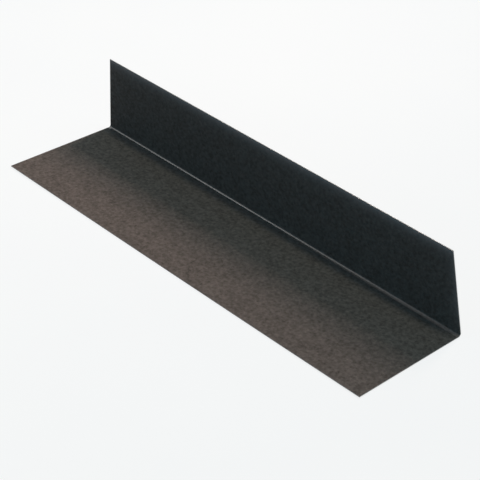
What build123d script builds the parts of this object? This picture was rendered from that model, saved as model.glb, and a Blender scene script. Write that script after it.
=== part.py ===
from build123d import *
from math import radians, tan
import os

# Step flashing: one thin painted sheet bent once into an L. The roof leg lies flat and
# the wall leg stands square to it. The wall leg is cut square at its left-hand end and
# on a slant at its right-hand end.
#
# Frame, in millimetres: +X runs along the bend towards the slanted end, +Y from the roof
# leg's free edge towards the wall leg, and +Z up. The origin is on the plane that the
# sheet lies on, below the middle of the roof leg's length and width.

# Driving dimensions. Both legs are measured over the outside of the sheet.
LENGTH = 304.8  # along the bend, 12 in
ROOF_LEG = 82.55  # 3 1/4 in
WALL_LEG = 50.8  # 2 in
SHEET = 0.5  # painted sheet, about 26 gauge
BEND_RADIUS = 1.5  # inside the bend
END_SLANT = 14.5  # degrees from square, at the wall leg's right-hand end

# Outside radius of the bend, which is also the height at which the wall leg turns straight.
bend_outside = BEND_RADIUS + SHEET

# The slant starts where the bend ends, so the bend and the roof leg stay square.
slant_set_back = (WALL_LEG - bend_outside) * tan(radians(END_SLANT))

# Corners of the section: y across, z up.
free_edge_below = (-ROOF_LEG / 2, 0)
free_edge_above = (-ROOF_LEG / 2, SHEET)
heel_outside = (ROOF_LEG / 2, 0)
heel_inside = (ROOF_LEG / 2 - SHEET, SHEET)
wall_top_behind = (ROOF_LEG / 2, WALL_LEG)
wall_top_in_front = (ROOF_LEG / 2 - SHEET, WALL_LEG)

# The section at the left-hand end. Its two rounded corners share one centre.
with BuildSketch(Plane.YZ.offset(-LENGTH / 2)) as section:
    with BuildLine():
        FilletPolyline(free_edge_below, heel_outside, wall_top_behind, radius=bend_outside)
        FilletPolyline(free_edge_above, heel_inside, wall_top_in_front, radius=BEND_RADIUS)
        Line(free_edge_below, free_edge_above)
        Line(wall_top_behind, wall_top_in_front)
    make_face()

# What the slanted cut takes off the wall leg's right-hand end, seen from the front.
with BuildSketch(Plane.XZ) as offcut:
    with BuildLine():
        Polyline(
            (LENGTH / 2, bend_outside),
            (LENGTH / 2, WALL_LEG),
            (LENGTH / 2 - slant_set_back, WALL_LEG),
            close=True,
        )
    make_face()

with BuildPart() as step_flashing:
    extrude(section.sketch, amount=LENGTH)
    extrude(offcut.sketch, amount=ROOF_LEG, both=True, mode=Mode.SUBTRACT)

os.makedirs("parts", exist_ok=True)
export_step(step_flashing.part, "parts/step_flashing.step")
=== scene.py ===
"""Step flashing: one sheet of painted steel, bent once into an L and lying on its roof leg.

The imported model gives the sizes. This script gives the sheet its final surface and
finish, and sets up the pale floor, the soft light and the camera. All lengths are in
metres, in the model's own frame: +X along the bend, +Y towards the wall leg, +Z up.
"""

import logging
import math
from dataclasses import dataclass, replace
from enum import Enum
from typing import Any

import bpy
import numpy as np
from mathutils import Matrix, Vector


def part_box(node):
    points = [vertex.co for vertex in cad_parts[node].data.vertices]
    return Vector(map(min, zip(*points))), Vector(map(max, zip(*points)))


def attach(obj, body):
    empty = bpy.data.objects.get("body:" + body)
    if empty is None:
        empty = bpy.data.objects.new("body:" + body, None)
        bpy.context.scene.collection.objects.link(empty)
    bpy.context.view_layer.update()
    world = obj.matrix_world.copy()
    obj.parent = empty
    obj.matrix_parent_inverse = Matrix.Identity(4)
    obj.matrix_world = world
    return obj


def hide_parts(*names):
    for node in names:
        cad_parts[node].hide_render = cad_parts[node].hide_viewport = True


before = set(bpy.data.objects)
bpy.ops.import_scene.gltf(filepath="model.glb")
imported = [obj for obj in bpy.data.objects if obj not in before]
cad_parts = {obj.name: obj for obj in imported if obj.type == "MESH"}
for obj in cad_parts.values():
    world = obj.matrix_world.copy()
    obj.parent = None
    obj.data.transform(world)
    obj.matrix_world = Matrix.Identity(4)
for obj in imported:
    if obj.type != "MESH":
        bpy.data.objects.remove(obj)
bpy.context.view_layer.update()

LOG = logging.getLogger("step_flashing")
MM = 0.001
NODE = "step_flashing"
BODY = "root"
IMAGE_PIXELS = 480

# A Mix node's colour sockets share their names with its number sockets, so they go by place.
COLOUR_A = 6
COLOUR_B = 7
COLOUR_RESULT = 2


class Skin(Enum):
    """Which of the sheet's two faces a point lies on, as a sign along the section's normal."""

    INSIDE = 1.0
    OUTSIDE = -1.0


class Coat(Enum):
    """Which of the sheet's two finishes a face has, as its material's place in the list."""

    MATT = 0
    POLISHED = 1


class LampForm(Enum):
    """Outline of a soft lamp's panel."""

    STRIP = "RECTANGLE"
    ROUND = "DISK"


def linear(hex_colour: str) -> tuple[float, float, float, float]:
    """Turns an sRGB colour into a linear one.

    Args:
        hex_colour: The colour as "#RRGGBB".

    Returns:
        Linear red, green and blue, and an alpha of one.
    """
    shares = np.array([int(hex_colour[i : i + 2], 16) for i in (1, 3, 5)]) / 255
    rgb = np.where(shares <= 0.04045, shares / 12.92, ((shares + 0.055) / 1.055) ** 2.4)
    return (*rgb.tolist(), 1.0)


def add_node(
    tree: bpy.types.NodeTree,
    kind: str,
    settings: dict[str, Any],
    inputs: dict[str | int, Any],
) -> bpy.types.Node:
    """Adds one node to a tree, with its settings and links.

    Args:
        tree: The material's or world's node tree.
        kind: The node's type, such as "ShaderNodeBump".
        settings: The node's own properties, by name.
        inputs: What goes into each socket, by its name or place: an output socket is
            linked, and anything else is set as the socket's value.

    Returns:
        The new node.
    """
    node = tree.nodes.new(kind)
    for name, value in settings.items():
        setattr(node, name, value)
    for socket, value in inputs.items():
        if isinstance(value, bpy.types.NodeSocket):
            tree.links.new(value, node.inputs[socket])
        else:
            node.inputs[socket].default_value = value
    return node


def seen_rays(tree: bpy.types.NodeTree) -> bpy.types.NodeSocket:
    """Tells the rays that show a surface from those that only light others.

    Args:
        tree: The material's or world's node tree.

    Returns:
        A socket that is one for camera, glossy and transmission rays, and zero for others.
    """
    path = add_node(tree, "ShaderNodeLightPath", {}, {}).outputs
    seen = path["Is Camera Ray"]
    for name in ("Is Glossy Ray", "Is Transmission Ray"):
        either = {0: seen, 1: path[name]}
        seen = add_node(tree, "ShaderNodeMath", {"operation": "MAXIMUM"}, either).outputs[0]
    return seen


def mesh_object(name: str, points: np.ndarray, quads: np.ndarray) -> bpy.types.Object:
    """Makes a smooth-shaded mesh object at the origin.

    Args:
        name: The object's name.
        points: One row of x, y, z for each vertex.
        quads: One row of four vertex numbers for each face, counter-clockwise from outside.

    Returns:
        The object, linked to the scene.
    """
    mesh = bpy.data.meshes.new(name)
    mesh.from_pydata(points.tolist(), [], quads.tolist())
    mesh.polygons.foreach_set("use_smooth", np.ones(len(quads), bool))
    mesh.update()
    piece = bpy.data.objects.new(name, mesh)
    bpy.context.scene.collection.objects.link(piece)
    return piece


def quads_between(first: np.ndarray, second: np.ndarray) -> np.ndarray:
    """Joins two rows of vertices with a strip of quads.

    Args:
        first: Vertex numbers of one row.
        second: Vertex numbers of the other row, as many.

    Returns:
        Quads that run first k, second k, second k + 1, first k + 1.
    """
    return np.stack([first[:-1], second[:-1], second[1:], first[1:]], 1)


def grid_quads(numbers: np.ndarray) -> np.ndarray:
    """Joins a grid of vertices with quads.

    Args:
        numbers: Vertex numbers, in rows and columns.

    Returns:
        Quads that run down a row, across a column, back up and back, in the grid's order.
    """
    corners = [numbers[:-1, :-1], numbers[1:, :-1], numbers[1:, 1:], numbers[:-1, 1:]]
    return np.stack(corners, -1).reshape(-1, 4)


@dataclass(frozen=True)
class PaintedSteel:
    """Prefinished steel: a galvanised coil with dark bronze polyester paint, rolled on and baked.

    Roller coating leaves a matt film with a fine tooth and a faint mottle, so the face is
    never quite one tone and doesn't mirror. The sheet is sheared after painting, so its
    cut edges show the steel. A pale band of painted highlight runs along the wall leg's rim.
    The tone is the tooth's noise, stretched about its middle by the contrast, with a share
    of the mottle. The roughness follows the mottle, and swings over the range of its noise.
    """

    name: str = "matt_bronze_paint_on_steel"
    paint: str = "#36302C"
    paint_light: str = "#6A605A"
    # Painted highlight colour for the pale band along the wall leg's rim.
    painted_rim_highlight: str = "#AE9A94"
    steel: str = "#7C7E7E"
    ior: float = 1.5
    gloss: float = 0.15
    roughness: float = 0.85
    burnished_roughness: float = 0.27
    steel_roughness: float = 0.5
    tooth_size: float = 1.9 * MM
    tooth_height: float = 0.05 * MM
    tooth_contrast: float = 2.0
    mottle_size: float = 16 * MM
    mottle_share: float = 0.2
    mottle_range: tuple[float, float] = (0.3, 0.7)
    roughness_swing: float = 0.02

    def polished(self) -> "PaintedSteel":
        """The same paint where the brake's nose has pressed and polished it."""
        return replace(self, name="brake_polished_bronze_paint", gloss=1.0)

    def material(self) -> bpy.types.Material:
        """Builds the material from the sheet's own attributes.

        The real tooth is about a tenth of a millimetre wide and finer than a pixel, so it
        is drawn about two pixels wide, as coarse as it needs to show.

        Returns:
            The material, named for the real one.
        """
        material = bpy.data.materials.new(self.name)
        material.use_nodes = True
        tree = material.node_tree
        tree.nodes.clear()
        blank, cut, painted_rim_highlight, burnished = (
            add_node(tree, "ShaderNodeAttribute", {"attribute_name": name}, {}).outputs[socket]
            for name, socket in (
                ("blank", "Vector"),
                ("cut_edge", "Fac"),
                ("painted_rim_highlight", "Fac"),
                ("burnished", "Fac"),
            )
        )
        tooth, mottle = (
            add_node(
                tree,
                "ShaderNodeTexNoise",
                {},
                {"Vector": blank, "Scale": 1 / size, "Detail": detail, "Roughness": fall},
            ).outputs["Fac"]
            for size, detail, fall in ((self.tooth_size, 2.0, 0.6), (self.mottle_size, 3.0, 0.55))
        )
        tone = add_node(
            tree,
            "ShaderNodeMath",
            {"operation": "MULTIPLY_ADD"},
            {0: tooth, 1: self.tooth_contrast, 2: (1 - self.tooth_contrast) / 2},
        ).outputs[0]
        tone = add_node(
            tree,
            "ShaderNodeMix",
            {"data_type": "FLOAT"},
            {"Factor": self.mottle_share, "A": tone, "B": mottle},
        ).outputs["Result"]
        colour = linear(self.paint)
        # The second mix paints a highlight along the wall leg's rim.
        for factor, over in ((tone, self.paint_light), (painted_rim_highlight, self.painted_rim_highlight), (cut, self.steel)):
            mixed = {"Factor": factor, COLOUR_A: colour, COLOUR_B: linear(over)}
            mix = add_node(tree, "ShaderNodeMix", {"data_type": "RGBA"}, mixed)
            colour = mix.outputs[COLOUR_RESULT]
        roughness = add_node(
            tree,
            "ShaderNodeMapRange",
            {},
            {
                "Value": mottle,
                "From Min": self.mottle_range[0],
                "From Max": self.mottle_range[1],
                "To Min": self.roughness - self.roughness_swing,
                "To Max": self.roughness + self.roughness_swing,
            },
        ).outputs["Result"]
        for factor, over in ((burnished, self.burnished_roughness), (cut, self.steel_roughness)):
            mixed = {"Factor": factor, "A": roughness, "B": over}
            roughness = add_node(tree, "ShaderNodeMix", {"data_type": "FLOAT"}, mixed).outputs["Result"]
        relief = add_node(
            tree,
            "ShaderNodeBump",
            {},
            {"Strength": 1.0, "Distance": self.tooth_height, "Height": tooth},
        ).outputs["Normal"]
        shader = add_node(
            tree,
            "ShaderNodeBsdfPrincipled",
            {},
            {
                "Base Color": colour,
                "Roughness": roughness,
                "Metallic": cut,
                "IOR": self.ior,
                "Specular IOR Level": self.gloss,
                "Normal": relief,
            },
        ).outputs["BSDF"]
        add_node(tree, "ShaderNodeOutputMaterial", {}, {"Surface": shader})
        return material


@dataclass(frozen=True)
class PaleFloorPaint:
    """Matt white studio floor paint, rolled on: even, with the faintest mottle.

    The eye and gloss see it close to white, with the flashing's shadow on it. To diffuse
    rays it is grey, so that it throws little light up on the flashing.
    """

    light: str = "#FDFDFC"
    dark: str = "#FBFBFB"
    unseen: str = "#808080"
    shadow_share: float = 0.15
    roughness: float = 0.9
    mottle_size: float = 120 * MM

    def material(self) -> bpy.types.Material:
        """Builds the floor's material on Object coordinates.

        Returns:
            The material.
        """
        material = bpy.data.materials.new("matt_white_floor_paint")
        material.use_nodes = True
        tree = material.node_tree
        tree.nodes.clear()
        place = add_node(tree, "ShaderNodeTexCoord", {}, {}).outputs["Object"]
        patches = {"Vector": place, "Scale": 1 / self.mottle_size}
        mottle = add_node(tree, "ShaderNodeTexNoise", {}, patches).outputs["Fac"]
        colour = add_node(
            tree,
            "ShaderNodeMix",
            {"data_type": "RGBA"},
            {
                "Factor": mottle,
                COLOUR_A: linear(self.light),
                COLOUR_B: linear(self.dark),
            },
        ).outputs[COLOUR_RESULT]
        matt = {"Color": colour, "Roughness": self.roughness}
        lit = add_node(tree, "ShaderNodeBsdfDiffuse", {}, matt).outputs[0]
        white = add_node(tree, "ShaderNodeEmission", {}, {"Color": colour, "Strength": 1.0}).outputs[0]
        shaded = {0: self.shadow_share, 1: white, 2: lit}
        seen = add_node(tree, "ShaderNodeMixShader", {}, shaded).outputs[0]
        unseen = add_node(tree, "ShaderNodeBsdfDiffuse", {}, {"Color": linear(self.unseen)}).outputs[0]
        both = {0: seen_rays(tree), 1: unseen, 2: seen}
        shader = add_node(tree, "ShaderNodeMixShader", {}, both).outputs[0]
        add_node(tree, "ShaderNodeOutputMaterial", {}, {"Surface": shader})
        return material


@dataclass
class Flashing:
    """The one piece: a sheet that lies on its roof leg, with its wall leg upright.

    A point of the sheet has a place across the blank, measured along the middle of the
    sheet from the roof leg's free edge, and a place along the bend. The cell is the size
    of the grid's squares, and the rim's steps are shares of its radius. The nose is the
    brake's, which presses a strip at the bend.
    """

    length: float
    roof_leg: float
    wall_leg: float
    sheet: float = 0.5 * MM
    bend_radius: float = 1.5 * MM
    end_slant: float = math.radians(14.5)
    rim_radius: float = 0.12 * MM
    rim_steps: tuple[float, ...] = (0.0, 0.12, 0.4, 1.0, 1.8)
    cell: float = 2.0 * MM
    bend_cells: int = 12
    corner_lift: float = 0.5 * MM
    ripple: float = 0.05 * MM
    ripple_length: float = 90 * MM
    ripple_width: float = 72 * MM
    ripple_phases: tuple[float, float] = (0.7, 0.4)
    ripple_fade: float = 12 * MM
    nose_lead: float = 0.8 * MM
    nose_reach: float = 1.6 * MM
    # Reach, share and fade of the painted highlight along the wall leg's rim.
    highlight_reach: float = 2.8 * MM
    highlight_share: float = 0.8
    highlight_fade: float = 12 * MM
    skin_offset: float = 20 * MM

    @classmethod
    def from_node(cls, node: str) -> "Flashing":
        """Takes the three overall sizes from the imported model.

        Args:
            node: The node's name.

        Returns:
            The flashing, at the model's size.
        """
        low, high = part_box(node)
        length, roof_leg, wall_leg = high - low
        return cls(length, roof_leg, wall_leg)

    @property
    def bend_outside(self) -> float:
        """Outside radius of the bend."""
        return self.bend_radius + self.sheet

    @property
    def bend_middle(self) -> float:
        """Radius of the bend at the middle of the sheet."""
        return self.bend_radius + self.sheet / 2

    @property
    def bend_start(self) -> float:
        """Place across the blank where the roof leg ends and the bend starts."""
        return self.roof_leg - self.bend_outside

    @property
    def bend_end(self) -> float:
        """Place across the blank where the bend ends and the wall leg starts."""
        return self.bend_start + self.bend_middle * math.pi / 2

    @property
    def nose_start(self) -> float:
        """Place across the blank where the strip that the brake's nose presses starts."""
        return self.bend_start - self.nose_lead

    @property
    def blank_width(self) -> float:
        """Width of the flat blank, along the middle of the sheet."""
        return self.bend_end + self.wall_leg - self.bend_outside

    def rim_distances(self) -> np.ndarray:
        """Distances from an edge that carry its rounded rim, with one more loop just inside."""
        return self.rim_radius * np.array(self.rim_steps)

    def places_across(self) -> np.ndarray:
        """Places the grid's lines across the blank, closer together at the rims and the bend.

        Returns:
            Places across the blank, in order. The bend's ends and the start of the nose's
            strip have a line each, and so has the flat just beside them.
        """
        rim = self.rim_distances()
        guard = rim[-1]
        roof_count = round(self.bend_start / self.cell)
        wall_count = round((self.blank_width - self.bend_end) / self.cell)
        roof = np.linspace(0, self.nose_start - guard, roof_count + 1)[1:]
        bend = np.linspace(self.bend_start, self.bend_end, self.bend_cells + 1)
        wall = np.linspace(self.bend_end + guard, self.blank_width, wall_count + 1)[:-1]
        return np.concatenate([rim, roof, [self.nose_start], bend, wall, self.blank_width - rim[::-1]])

    def points(self) -> dict[str, np.ndarray]:
        """Works out the middle surface of the sheet, its normals and its half thickness.

        With s the place across the blank, the section turns by the angle t, which is s past
        the bend's start divided by the bend's middle radius, kept between 0 and 90 degrees.
        Then y is s up to the bend's start plus radius times sin t, and z is half the sheet
        plus radius times (1 - cos t) plus what s is past the bend's end. The normal is
        (0, -sin t, cos t). The right-hand end steps back by the height above the bend times
        the tangent of the slant. At a distance d from an edge, closer than the rim's radius
        r, the half thickness loses r less the root of r squared less (r - d) squared.

        Returns:
            Arrays over the grid: "middle" and "normal" with three values, and "half",
            "across", "along" and "edge" with one.
        """
        across = self.places_across()
        rim = self.rim_distances()
        inner = np.linspace(0, 1, round(self.length / self.cell) + 1)[1:-1]
        share = np.concatenate([0 * rim, inner, 1 + 0 * rim])
        shift = np.concatenate([rim, 0 * inner, -rim[::-1]])
        turn = np.clip((across - self.bend_start) / self.bend_middle, 0, math.pi / 2)
        rise = np.maximum(across - self.bend_end, 0)
        y = -self.roof_leg / 2 + np.minimum(across, self.bend_start) + self.bend_middle * np.sin(turn)
        z = self.sheet / 2 + self.bend_middle * (1 - np.cos(turn)) + rise
        width = self.length - rise * math.tan(self.end_slant)
        from_left = share[:, None] * width[None, :] + shift[:, None]
        shape = from_left.shape
        to_edge = np.minimum.reduce(
            [
                from_left,
                width[None, :] - from_left,
                np.broadcast_to(np.minimum(across, self.blank_width - across), shape),
            ]
        )
        short = np.clip(self.rim_radius - to_edge, 0, None)
        half = self.sheet / 2 - self.rim_radius + np.sqrt(self.rim_radius**2 - short**2)
        zero = np.zeros(shape)
        middle = np.stack([from_left - self.length / 2, zero + y, zero + z], -1)
        normal = np.stack([zero, zero - np.sin(turn), zero + np.cos(turn)], -1)
        return {
            "middle": middle,
            "normal": normal,
            "half": half,
            "across": zero + across,
            "along": from_left,
            "edge": to_edge,
        }

    def unevenness(self, along: np.ndarray, across: np.ndarray) -> np.ndarray:
        """How far the thin sheet springs away from flat, along its inside normal.

        With a the share of the way from the bend to the free edge, and b the place along
        the bend from -1 to 1, the free corners lift by a times b squared. A long shallow
        ripple covers both legs: half of one plus the product of two sines, one along and
        one across, times 1 - e to the power of minus the distance from the bend over fade.

        Args:
            along: Distance from the left-hand end, over the grid.
            across: Place across the blank, over the grid.

        Returns:
            The distance at each grid point, never below zero.
        """
        out = np.clip(1 - across / self.bend_start, 0, 1)
        side = 2 * along / self.length - 1
        lift = self.corner_lift * out * side**2
        bend_centre = (self.bend_start + self.bend_end) / 2
        from_bend = np.maximum(np.abs(across - bend_centre) - self.bend_outside, 0)
        fade = 1 - np.exp(-from_bend / self.ripple_fade)
        wave_along = np.sin(2 * math.pi * along / self.ripple_length + self.ripple_phases[0])
        wave_across = np.sin(2 * math.pi * across / self.ripple_width + self.ripple_phases[1])
        return lift + self.ripple * fade * (1 + wave_along * wave_across) / 2

    def build(self) -> bpy.types.Object:
        """Makes the closed sheet: its two skins, a grid each, and a strip of quads round them.

        Returns:
            The sheet's object, with its attributes for the finish.
        """
        grid = self.points()
        away = self.unevenness(grid["along"], grid["across"])
        lifted = grid["middle"] + grid["normal"] * away[..., None]
        skins = [lifted + skin.value * grid["normal"] * grid["half"][..., None] for skin in Skin]
        rows, columns = grid["half"].shape
        inside = np.arange(rows * columns).reshape(rows, columns)
        outside = inside + rows * columns
        faces = np.concatenate(
            [
                grid_quads(inside),
                grid_quads(outside)[:, ::-1],
                quads_between(inside[:, 0], outside[:, 0]),
                quads_between(outside[:, -1], inside[:, -1]),
                quads_between(outside[0], inside[0]),
                quads_between(inside[-1], outside[-1]),
            ]
        )
        points = np.concatenate([skin.reshape(-1, 3) for skin in skins])
        piece = mesh_object("flashing_sheet", points, faces)
        self.add_attributes(piece.data, grid)
        across = grid["across"][0]
        nosed = self.nosed((across[:-1] + across[1:]) / 2)
        strips = np.where(nosed, Coat.POLISHED.value, Coat.MATT.value)
        coats = np.full(len(faces), Coat.MATT.value, np.int32)
        coats[: (rows - 1) * (columns - 1)] = np.tile(strips, rows - 1)
        piece.data.polygons.foreach_set("material_index", coats)
        return piece

    def nosed(self, across: np.ndarray) -> np.ndarray:
        """Tells which places across the blank the brake's nose has pressed.

        Args:
            across: Places across the blank.

        Returns:
            True for each place in a strip that starts on the roof leg, just short of the bend.
        """
        return (across >= self.nose_start) & (across <= self.bend_start + self.nose_reach)

    def add_attributes(self, mesh: bpy.types.Mesh, grid: dict[str, np.ndarray]) -> None:
        """Stores what the finish reads at each vertex.

        "blank" is the place on the flat blank, so a pattern runs round the bend as it does
        on the painted coil, and the offset gives each skin a pattern of its own. "cut_edge"
        is one on the outer half of the sheared rim. The rim's painted highlight falls from the
        wall leg's rim as share times e to the power of minus distance over reach, with half as
        much along the slanted end as along the top, and fades out evenly at the foot of the leg.
        "burnished" is one in the strip that the brake's nose presses, up to the middle of
        the bend's length, and falls evenly from there to the right-hand end.

        Args:
            mesh: The sheet's mesh, with the inside skin's vertices first.
            grid: The arrays from points().
        """
        along, across = grid["along"], grid["across"]
        rise = np.maximum(across - self.bend_end, 0)
        to_top = self.blank_width - across
        to_end = self.length - rise * math.tan(self.end_slant) - along
        top, end = (np.exp(-distance / self.highlight_reach) for distance in (to_top, to_end))
        # Painted highlight: paler paint along the wall leg's top and slanted end.
        painted_rim_highlight = self.highlight_share * np.maximum(top, end / 2) * np.clip(rise / self.highlight_fade, 0, 1)
        cut = (grid["edge"] < self.rim_radius / 2).astype(np.float32)
        burnished = self.nosed(across) * np.clip(2 - 2 * along / self.length, 0, 1)
        apart = np.full_like(along, self.skin_offset)
        blank = np.stack([np.stack([along, across, skin.value * apart], -1) for skin in Skin])
        mesh.attributes.new("blank", "FLOAT_VECTOR", "POINT").data.foreach_set("vector", blank.ravel())
        for name, values in (("cut_edge", cut), ("painted_rim_highlight", painted_rim_highlight), ("burnished", burnished)):
            both = np.tile(values.ravel(), len(Skin))
            mesh.attributes.new(name, "FLOAT", "POINT").data.foreach_set("value", both)

    def dress(self, piece: bpy.types.Object, finish: PaintedSteel) -> None:
        """Gives the sheet its finish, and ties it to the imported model.

        Args:
            piece: The sheet's object.
            finish: What the sheet is made of.
        """
        piece.data.materials.append(finish.material())
        piece.data.materials.append(finish.polished().material())
        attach(piece, BODY)
        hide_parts(NODE)


@dataclass(frozen=True)
class SoftLamp:
    """A soft studio panel that faces the flashing, with or without a honeycomb grid.

    Its level is how bright it alone shows a white card that faces it where it aims, where
    1 is white. The spread is the full angle, in degrees, that a grid lets through.
    """

    name: str
    form: LampForm
    place: tuple[float, float, float]
    width: float
    height: float
    level: float
    colour: str = "#FFFFFF"
    aim: tuple[float, float, float] = (0.0, 0.0, 0.0)
    spread: float = 180.0

    def build(self) -> bpy.types.Object:
        """Makes the lamp, turned towards its aim.

        A bare panel of power P at a distance d shows a white card at P over pi squared d
        squared. A grid of half angle a gathers the same power on its axis, so it takes
        1 - a / tan a of it.

        Returns:
            The lamp's object.
        """
        away = Vector(self.place) - Vector(self.aim)
        half = math.radians(self.spread) / 2
        lamp = bpy.data.lights.new(self.name, "AREA")
        lamp.shape = self.form.value
        lamp.size = self.width
        lamp.size_y = self.height
        lamp.spread = 2 * half
        lamp.energy = self.level * (math.pi * away.length) ** 2 * (1 - half / math.tan(half))
        lamp.color = linear(self.colour)[:3]
        placed = bpy.data.objects.new(self.name, lamp)
        away.normalize()
        right = Vector((1, 0, 0))
        right = (right - away * right.dot(away)).normalized()
        turned = Matrix((right, away.cross(right), away)).transposed().to_4x4()
        placed.matrix_world = Matrix.Translation(Vector(self.place)) @ turned
        bpy.context.scene.collection.objects.link(placed)
        return placed


@dataclass
class Studio:
    """A pale floor and plain soft light.

    A long strip hangs overhead. A warm panel with a grid stands behind the wall leg and
    lights the front left of the roof leg, a dim round one stands on the left, and the
    surroundings give a cool fill.
    """

    floor_size: float = 16.0
    floor_squares: int = 8
    floor_gap: float = 0.05 * MM
    fill: str = "#92DDFF"
    fill_level: float = 0.35
    surroundings: str = "#FFFFFF"

    def build_floor(self) -> bpy.types.Object:
        """Makes the floor, a grid of squares just below the plane the flashing lies on.

        Returns:
            The floor's object, which the exported model leaves out.
        """
        steps = np.linspace(-0.5, 0.5, self.floor_squares + 1) * self.floor_size
        x, y = np.meshgrid(steps, steps, indexing="ij")
        points = np.stack([x, y, np.full_like(x, -self.floor_gap)], -1).reshape(-1, 3)
        numbers = np.arange(x.size).reshape(x.shape)
        floor = mesh_object("studio_floor", points, grid_quads(numbers))
        floor.data.materials.append(PaleFloorPaint().material())
        return floor

    def build_lamps(self) -> list[bpy.types.Object]:
        """Makes the lamps.

        Returns:
            The lamps' objects.
        """
        lamps = [
            SoftLamp(
                name="overhead_strip",
                form=LampForm.STRIP,
                place=(0.0, 0.62, 4.0),
                width=2.6,
                height=0.42,
                level=0.23,
                colour="#FDFFE9",
            ),
            SoftLamp(
                name="back_panel",
                form=LampForm.STRIP,
                place=(-0.16, 0.72, 0.74),
                width=0.15,
                height=0.36,
                level=1.25,
                colour="#FFE6DC",
                aim=(-0.15, 0.0, 0.0),
                spread=66.0,
            ),
            SoftLamp(
                name="left_panel",
                form=LampForm.ROUND,
                place=(-0.62, -0.08, 0.72),
                width=0.3,
                height=0.3,
                level=0.05,
            ),
        ]
        return [lamp.build() for lamp in lamps]

    def build_surroundings(self) -> bpy.types.World:
        """Makes the world: a cool dim fill, and plain white for what the eye and gloss see.

        Returns:
            The world.
        """
        world = bpy.data.worlds.new("studio_surroundings")
        world.use_nodes = True
        tree = world.node_tree
        tree.nodes.clear()
        dim, pale = (
            add_node(tree, "ShaderNodeBackground", {}, {"Color": linear(tint), "Strength": level})
            for tint, level in ((self.fill, self.fill_level), (self.surroundings, 1.0))
        )
        both = {0: seen_rays(tree), 1: dim.outputs[0], 2: pale.outputs[0]}
        shader = add_node(tree, "ShaderNodeMixShader", {}, both).outputs[0]
        add_node(tree, "ShaderNodeOutputWorld", {}, {"Surface": shader})
        bpy.context.scene.world = world
        return world


@dataclass(frozen=True)
class PhotographCamera:
    """The camera, solved from the sheet's corners, edges and bend line in the photograph.

    Angles are in degrees. Azimuth 0 looks along +Y, and a positive roll turns the camera
    so that the picture leans to the right. The focal length is in the image's pixels.
    """

    azimuth: float = 45.18
    elevation: float = 33.57
    roll: float = 2.68
    distance: float = 921.1 * MM
    target: tuple[float, float, float] = (3.45 * MM, 13.48 * MM, 0.0)
    focal_pixels: float = 1532.0
    sensor: float = 36.0

    def build(self) -> bpy.types.Object:
        """Makes the camera and sets it as the scene's.

        Returns:
            The camera's object.
        """
        azimuth, elevation, roll = (math.radians(a) for a in (self.azimuth, self.elevation, self.roll))
        back = Vector(
            (
                math.sin(azimuth) * math.cos(elevation),
                -math.cos(azimuth) * math.cos(elevation),
                math.sin(elevation),
            )
        )
        level_right = (-back).cross(Vector((0, 0, 1))).normalized()
        level_up = level_right.cross(-back)
        right = level_right * math.cos(roll) + level_up * math.sin(roll)
        up = level_up * math.cos(roll) - level_right * math.sin(roll)
        lens = bpy.data.cameras.new("photograph_camera")
        lens.sensor_width = self.sensor
        lens.lens = self.focal_pixels / IMAGE_PIXELS * self.sensor
        lens.clip_start = 0.01
        lens.clip_end = 100.0
        camera = bpy.data.objects.new("photograph_camera", lens)
        turned = Matrix((right, up, back)).transposed().to_4x4()
        camera.matrix_world = Matrix.Translation(Vector(self.target) + back * self.distance) @ turned
        bpy.context.scene.collection.objects.link(camera)
        bpy.context.scene.camera = camera
        return camera


def main() -> None:
    """Builds the flashing, the studio and the camera, and reports each piece."""
    logging.basicConfig(level=logging.INFO, format="%(name)s: %(message)s")
    bpy.context.scene.view_settings.view_transform = "Standard"
    flashing = Flashing.from_node(NODE)
    sheet = flashing.build()
    flashing.dress(sheet, PaintedSteel())
    face_count = len(sheet.data.polygons)
    LOG.info("%s: %d faces, blank %.1f mm wide", sheet.name, face_count, flashing.blank_width / MM)
    studio = Studio()
    floor = studio.build_floor()
    LOG.info("%s: %.0f m square", floor.name, studio.floor_size)
    for lamp in studio.build_lamps():
        LOG.info("%s: %.1f W", lamp.name, lamp.data.energy)
    surroundings = studio.build_surroundings()
    LOG.info("%s: fill level %.2f", surroundings.name, studio.fill_level)
    camera = PhotographCamera().build()
    LOG.info("%s: %.1f mm lens", camera.name, camera.data.lens)


if __name__ == "__main__":
    main()
